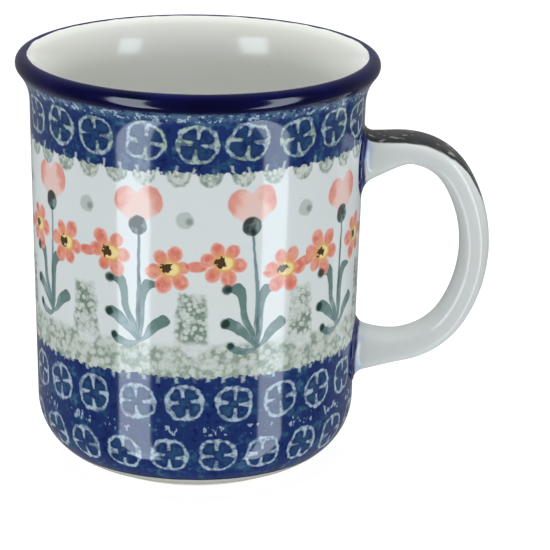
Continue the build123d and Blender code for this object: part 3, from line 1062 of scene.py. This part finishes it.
def sponged_ground(canvas, ground):
    """Where the sponge went: a strip of ground and, faint at its foot, a post between the plants."""
    rough = ragged(canvas, 2.2, 91.0)
    y = canvas.along
    _, x = canvas.repeat(PLANTS, PLANT_OFFSET + 0.5)
    bare = length((x + 0.6) / 3.0, (y - 39.4) / 2.0).step(0.75, 1.2) * 0.75 + 0.25
    strip = (y - 39.9 + rough * 1.1).step(1.3, -1.0) * bare
    ground = sponge_print(canvas, ground, strip, 93.0, 1.15, 0.72)
    half = 4.0 - (y - 40.0) * 0.07
    post = (abs(x + 1.0) - half + rough * 1.3).most(y - 52.6 + rough * 1.5).step(0.6, -0.8)
    foot = (y - 40.5 + rough * 0.8).step(-1.2, 1.0)
    return sponge_print(canvas, ground, post * foot, 94.0, 0.85)


def scallops(canvas, ground):
    """Half rounds of sponge print that hang under the upper band."""
    index, x = canvas.repeat(SCALLOPS, 0.3)
    x = x + canvas.stray(index, 9.1, 1.2)
    y = canvas.along - UPPER_BAND_Z - 0.4
    reach = length(x / 3.0, y / 3.7) + ragged(canvas, 1.6, 95.0) * 0.12
    cover = reach.step(1.06, 0.86)
    under = sponge_print(canvas, ground, cover * 0.9, 96.0, 0.7, 0.8)
    rim = abs(reach - 0.88).step(0.2, 0.04)
    broken = canvas.noise(1.4, 1.0, 98.0).step(0.38, 0.62)
    return canvas.blend(under, "6f8279", rim * broken * 0.6)


def frieze_material():
    canvas = Canvas("frieze_glaze")
    paint = white_ground(canvas)
    paint = sponged_ground(canvas, paint)
    paint = scallops(canvas, paint)
    paint = dots(canvas, paint)
    index, x = canvas.repeat(PLANTS, PLANT_OFFSET)
    aside, root_up, head_up = canvas.listed(index, PLANTS_BY_HAND)
    lean = canvas.listed(index, HEADS_BY_HAND)[0]
    warp = canvas.drift(2.6, 1.0, 52.0, 0.8)
    x = x - aside + warp * 0.7
    height = canvas.along + warp * 0.6
    paint = plant_leaves(canvas, paint, x, height - root_up)
    paint = stem(canvas, paint, x - lean * height.step(50.0, 68.0), height)
    paint = poppy(canvas, paint, x - lean, height - head_up)
    paint = calyx(canvas, paint, x - lean, height - head_up)
    paint = daisies(canvas, paint)
    paint = leaf_tips(canvas, paint, x, height - root_up)
    blue = band_ground(canvas)
    paint = blue_edge(canvas, paint, blue, UPPER_BAND_Z, 1, 14.0)
    paint = blue_edge(canvas, paint, blue, LOWER_BAND_TOP_Z, -1, 15.0)
    return canvas.finish_glaze(joint_bleed(canvas, paint))


def joint_bleed(canvas, ground):
    """Cobalt that ran onto the wall round the handle's joints."""
    azimuth = canvas.across - (canvas.across + 0.5).floor()
    x = azimuth * ROUND
    upper = length(x / 9.6, (canvas.along - UPPER_JOINT_Z) / 8.6)
    lower = length(x / 9.3, (canvas.along - LOWER_JOINT_Z) / 8.0)
    near = upper.least(lower) + canvas.drift(3.0, 1.0, 43.0, 0.06)
    bleed = near.step(1.16, 1.0) * 0.5
    ground = canvas.blend(ground, "8fa6d2", bleed)
    return canvas.blend(ground, "141a5e", near.step(1.075, 1.02))


def upper_band_material():
    canvas = Canvas("upper_band_glaze")
    blue = band_ground(canvas)
    haze = canvas.along.step(92.6, 95.0) * canvas.noise(1.5, 2.0, 18.0).step(0.35, 0.6)
    blue = canvas.blend(blue, "5a7890", haze * 0.75)
    blue = stamps(canvas, blue, 0.08, -88.6, 88.5, 4.5, 1.3, STAMP_LINE_GREEN)
    blue = flecks(canvas, blue, 94.7, 1.3, 17.0)
    blue = ticks(canvas, blue, 58, 0.6, 81.8, 2.2, 0.26, 19.0, "b9c9d2")
    dusk = canvas.along.step(RIM_BAND_Z - 0.8, RIM_BAND_Z + 0.9)
    blue = canvas.blend(blue, "1d1d3c", dusk * 0.85)
    white = scallops(canvas, white_ground(canvas))
    paint = blue_edge(canvas, white, blue, UPPER_BAND_Z, 1, 14.0)
    return canvas.finish_glaze(joint_bleed(canvas, paint))


def lower_band_material():
    canvas = Canvas("lower_band_glaze")
    blue = band_ground(canvas)
    blue = stamps(canvas, blue, 0.0, -92.0, 25.5, 4.3, 2.6, STAMP_LINE)
    blue = stamps(canvas, blue, 0.0, -97.5, 12.2, 4.35, 5.2, STAMP_LINE)
    blue = flecks(canvas, blue, 18.9, 1.4, 23.0, 3.9, 0.2)
    blue = ticks(canvas, blue, 63, 0.3, 32.0, 2.2, 0.4, 25.0, "a9bdc8")
    low = OUTLINE.at_height(LOWER_BAND_Z) - PAINT_ZERO
    blue = canvas.blend(blue, COBALT_DARK, canvas.along.step(low + 1.1, low + 0.5) * 0.8)
    ground = sponged_ground(canvas, white_ground(canvas))
    paint = blue_edge(canvas, ground, blue, LOWER_BAND_TOP_Z, -1, 15.0)
    return canvas.finish_glaze(joint_bleed(canvas, paint))


def cobalt_material():
    """Cobalt over the lip, a little paler where it ends, unevenly, on the inside."""
    canvas = Canvas("rim_cobalt")
    inner = OUTLINE.at_inner_radius(RIM_BAND_INNER_RADIUS) - PAINT_ZERO
    cloud = canvas.noise(8.0, 3.0, 33.0)
    blue = canvas.ramp(cloud, [(0.25, COBALT_DARK), (0.55, COBALT), (0.8, "0f1150")])
    edge = canvas.along - inner + canvas.drift(5.0, 2.0, 34.0, 0.9)
    blue = canvas.blend(blue, "1a1c5c", edge.step(-1.5, -0.5) * 0.4)
    paint = canvas.blend(blue, white_ground(canvas), edge.step(-0.22, 0.05))
    return canvas.finish_glaze(paint, wave=0.05, gloss=0.09)


def inner_material():
    canvas = Canvas("inner_glaze")
    return canvas.finish_glaze(white_ground(canvas, "d5d8d4", "d0d0c8"), gloss=0.08)


def heel_material_with_painted_shade():
    canvas = Canvas("heel_glaze")
    low = OUTLINE.at_height(LOWER_BAND_Z) - PAINT_ZERO
    # The heel's white glaze is painted greyer than the white elsewhere: painted shade where the wall turns
    # under towards the floor.
    white = white_ground(canvas, "bdc3bd", "bcbab1")
    line = (canvas.along - low + canvas.drift(3.0, 1.0, 36.0, 0.5)).step(-0.25, 0.0)
    return canvas.finish_glaze(canvas.blend(white, COBALT_DARK, line * 0.85))


def underside_material():
    canvas = Canvas("underside_glaze")
    return canvas.finish_glaze(white_ground(canvas, "dfe3dd", "d8d2c6"))


def handle_material():
    canvas = Canvas("handle_glaze")
    white = white_ground(canvas, "d2d8d8", "cfd1cc")
    return canvas.finish_glaze(joint_line(canvas, white), gloss=0.14)


def stroke_material():
    """One loaded brush stroke, dragged dry towards its tail."""
    canvas = Canvas("stroke_glaze")
    white = joint_line(canvas, white_ground(canvas, "d2d8d8", "cfd1cc"))
    along = canvas.along
    widths = [(0, 0.88), (6, 0.98), (15, 1.0), (22, 0.94), (28, 0.76), (34, 0.54), (42, 0.3), (48, 0.12)]
    half = canvas.curves(along, 50.0, widths)[0] * 5.5
    ragged_edge = canvas.drift(2.2, 3.0, 45.0, 1.6, (0.35, 1.0, 0.35))
    edge = abs(canvas.y) - half + ragged_edge
    bristle = canvas.noise(0.7, 2.0, 46.0, (0.12, 1.0, 0.12))
    dry = along.step(30.0, 48.0)
    cover = edge.step(0.15, -0.3) * (1.0 - dry * bristle.step(0.45, 0.65) * 0.6)
    tone = canvas.ramp(
        canvas.noise(2.4, 3.0, 47.0, (0.45, 1.0, 0.45)),
        [(0.38, "07080e"), (0.52, "131319"), (0.62, "2b2b27"), (0.76, "5d5d57")],
    )
    bare = canvas.noise(0.9, 2.0, 48.0, (0.35, 1.0, 0.35)).step(0.6, 0.67)
    tone = canvas.blend(tone, "96958a", bare * 0.7)
    return canvas.finish_glaze(canvas.blend(white, tone, cover * 0.96))


def stoneware_material():
    """Unglazed stoneware: fine grains, specks, and the rings left by turning the foot."""
    canvas = Canvas("bare_stoneware")
    grain = canvas.noise(0.5, 3.0, 101.0)
    cloud = canvas.noise(6.0, 2.0, 102.0)
    tone = canvas.ramp(cloud * 0.6 + grain * 0.4, [(0.3, "d9d0c4"), (0.5, "e6dfd5"), (0.75, "ece8e0")])
    specks = canvas.cells(1.6).step(0.09, 0.04)
    tone = canvas.blend(tone, "9d8a74", specks * 0.45)
    rings = (length(canvas.x, canvas.y) * 9.0).do("SINE") * 0.2
    return canvas.finish(tone, grain * 0.2 + 0.62, grain + rings, 0.05)


def slip_material():
    """Slip worked with a wet finger: smoother and a little darker than the clay."""
    canvas = Canvas("slip")
    smear = canvas.noise(2.4, 2.0, 105.0, (1.0, 0.4, 1.0))
    tone = canvas.ramp(smear, [(0.3, "cdbfae"), (0.7, "ded2c3")])
    return canvas.finish(tone, smear * 0.2 + 0.55, smear, 0.08)


# ======================================================================
# The mug
# ======================================================================
def place(piece, material, slot, node):
    """Gives a piece its material and puts it on the mug in place of a CAD node."""
    piece.data.materials.append(material)
    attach(piece, "root")
    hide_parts(node)


def make_cup():
    """The clay and its coats; each coat runs between two distances along the outline."""
    low = OUTLINE.at_height(LOWER_BAND_Z)
    middle = OUTLINE.at_height(LOWER_BAND_TOP_Z)
    upper = OUTLINE.at_height(UPPER_BAND_Z)
    rim = OUTLINE.at_height(RIM_BAND_Z)
    inner = OUTLINE.at_inner_radius(RIM_BAND_INNER_RADIUS)
    ring, disc = make_ring_coat, make_disc_coat
    place(make_cup_body(), stoneware_material(), "bare_stoneware", "cup_body")
    for make, name, start, end, step, paint, slot in (
        (ring, "heel_glaze", FOOT_RADIUS, low, 0.8, heel_material_with_painted_shade, "clear_glaze"),
        (ring, "lower_stamped_band", low, middle, 0.9, lower_band_material, "stamped_glaze"),
        (ring, "flower_frieze", middle, upper, 1.5, frieze_material, "painted_glaze"),
        (ring, "upper_stamped_band", upper, rim, 0.7, upper_band_material, "stamped_glaze"),
        (ring, "rim_band", rim, inner, 0.25, cobalt_material, "cobalt_glaze"),
        (disc, "inner_glaze", inner, OUTLINE.travel[-1], 1.2, inner_material, "clear_glaze"),
        (disc, "underside_glaze", 0.0, FOOT_RADIUS - FOOT_WIDTH, 1.2, underside_material, "clear_glaze"),
    ):
        place(make(name, start, end, step), paint(), slot, name)


def make_handle():
    """The strap, the slip at its ends, its glaze and the brush stroke, from the inside out."""
    core, swollen, skin = (COAT, 0.0), (COAT, 1.0), (0.0, 1.0)
    upper_reach, lower_reach = START_TRAVEL + JOINT_REACH, END_TRAVEL - JOINT_REACH
    strap = solid_strap("handle", START_TRAVEL, END_TRAVEL, COAT)
    place(strap, stoneware_material(), "bare_stoneware", "handle")
    for name, start, end, outer, under, paint, slot in (
        ("upper_slip_joint", START_TRAVEL, upper_reach, swollen, core, slip_material, "slip"),
        ("lower_slip_joint", lower_reach, END_TRAVEL, swollen, core, slip_material, "slip"),
        ("handle_glaze", START_TRAVEL, END_TRAVEL, skin, swollen, handle_material, "clear_glaze"),
    ):
        place(sleeve(name, start, end, outer, under), paint(), slot, name)
    place(make_spine_stroke(), stroke_material(), "cobalt_glaze", "spine_stroke")


bpy.context.scene.view_settings.view_transform = "Standard"
make_camera()
make_world()
make_softbox("left_softbox", azimuth=-132.5, width=0.38, low=-1.3, high=0.62, sheen=6.0, glow=1.8)
make_softbox("right_softbox", azimuth=-34.0, width=0.30, low=-1.3, high=0.55, sheen=5.4, glow=1.2)
make_overhead(radiance=4.7)
make_floor()
make_cup()
make_handle()
